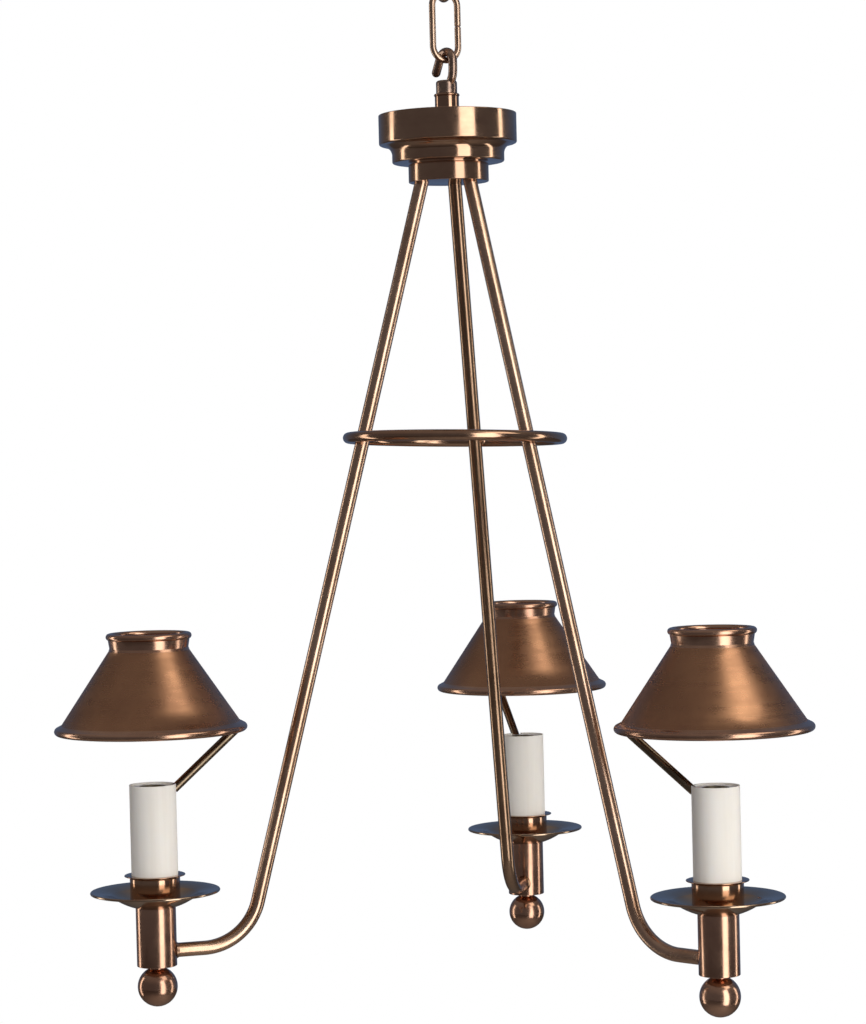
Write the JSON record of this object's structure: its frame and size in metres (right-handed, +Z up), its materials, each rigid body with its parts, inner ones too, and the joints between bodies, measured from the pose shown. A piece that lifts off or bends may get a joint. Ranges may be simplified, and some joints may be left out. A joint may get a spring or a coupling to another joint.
{
  "type": "chandelier",
  "caption": "Hanging brass chandelier with splayed tubular arms tied by a ring, each ending in a candle lampholder on a drip pan under a conical metal shade.",
  "frame": {"origin": "inside top of the upper chain link, where the ceiling hook bears", "axes": "+Z up along the hanging axis; one arm points along +Y and the other two to the front left and front right"},
  "size_m": [0.4232, 0.381, 0.6059],
  "materials": {
    "polished_brass": "polished antique brass",
    "shade_brass": "satin, brushed round",
    "arm_brass": "satin",
    "pan_brass": "polished",
    "link_wire": "bright drawn wire",
    "dark_bronze": "dark cast bronze",
    "dark_rod": "dark patina",
    "candle_ivory": "matte ivory",
    "insulator": "glazed",
    "plain_metal": "plain turned"
  },
  "bodies": {
    "ceiling_link": {"upper_link": "link_wire"},
    "chain_link": {"lower_link": "link_wire"},
    "chandelier": {"hanging_hook": "dark_bronze", "hook_collar": "polished_brass", "canopy_cover": "polished_brass", "canopy_body": "polished_brass", "centre_rod": "plain_metal", "rod_nut": "plain_metal", "terminal_block": "insulator", "arm_plate": "polished_brass", "tie_ring": "arm_brass", "arm_tube_left": "arm_brass", "arm_elbow_left": "arm_brass", "stem_left": "polished_brass", "ball_finial_left": "polished_brass", "drip_pan_left": "pan_brass", "candle_cup_left": "polished_brass", "nipple_left": "plain_metal", "lampholder_left": "insulator", "screw_shell_left": "plain_metal", "lamp_contact_left": "plain_metal", "arm_tube_right": "arm_brass", "arm_elbow_right": "arm_brass", "stem_right": "polished_brass", "ball_finial_right": "polished_brass", "drip_pan_right": "pan_brass", "candle_cup_right": "polished_brass", "nipple_right": "plain_metal", "lampholder_right": "insulator", "screw_shell_right": "plain_metal", "lamp_contact_right": "plain_metal", "arm_tube_back": "arm_brass", "arm_elbow_back": "arm_brass", "stem_back": "polished_brass", "ball_finial_back": "polished_brass", "drip_pan_back": "pan_brass", "candle_cup_back": "polished_brass", "nipple_back": "plain_metal", "lampholder_back": "insulator", "screw_shell_back": "plain_metal", "lamp_contact_back": "plain_metal"},
    "turning_shade_left": {"candle_tube_left": "candle_ivory", "shade_carrier_left": "dark_rod", "shade_left": "shade_brass"},
    "turning_shade_right": {"candle_tube_right": "candle_ivory", "shade_carrier_right": "dark_rod", "shade_right": "shade_brass"},
    "turning_shade_back": {"candle_tube_back": "candle_ivory", "shade_carrier_back": "dark_rod", "shade_back": "shade_brass"}
  },
  "joints": [
    {"name": "chain_swing", "type": "hinge", "parent": "ceiling_link", "child": "chain_link", "pos_m": [0, 0, -0.03705], "axis": [0.6157, -0.788, 0], "range_deg": [-30, 30]},
    {"name": "chandelier_swing", "type": "hinge", "parent": "chain_link", "child": "chandelier", "pos_m": [0, 0, -0.07195], "axis": [0.788, 0.6157, 0], "range_deg": [-30, 30]},
    {"name": "shade_turn_left", "type": "hinge", "parent": "chandelier", "child": "turning_shade_left", "pos_m": [-0.15762, -0.091, -0.47795], "axis": [0, 0, 1], "continuous": true},
    {"name": "shade_turn_right", "type": "hinge", "parent": "chandelier", "child": "turning_shade_right", "pos_m": [0.15762, -0.091, -0.47795], "axis": [0, 0, 1], "continuous": true},
    {"name": "shade_turn_back", "type": "hinge", "parent": "chandelier", "child": "turning_shade_back", "pos_m": [0, 0.182, -0.47795], "axis": [0, 0, 1], "continuous": true}
  ]
}
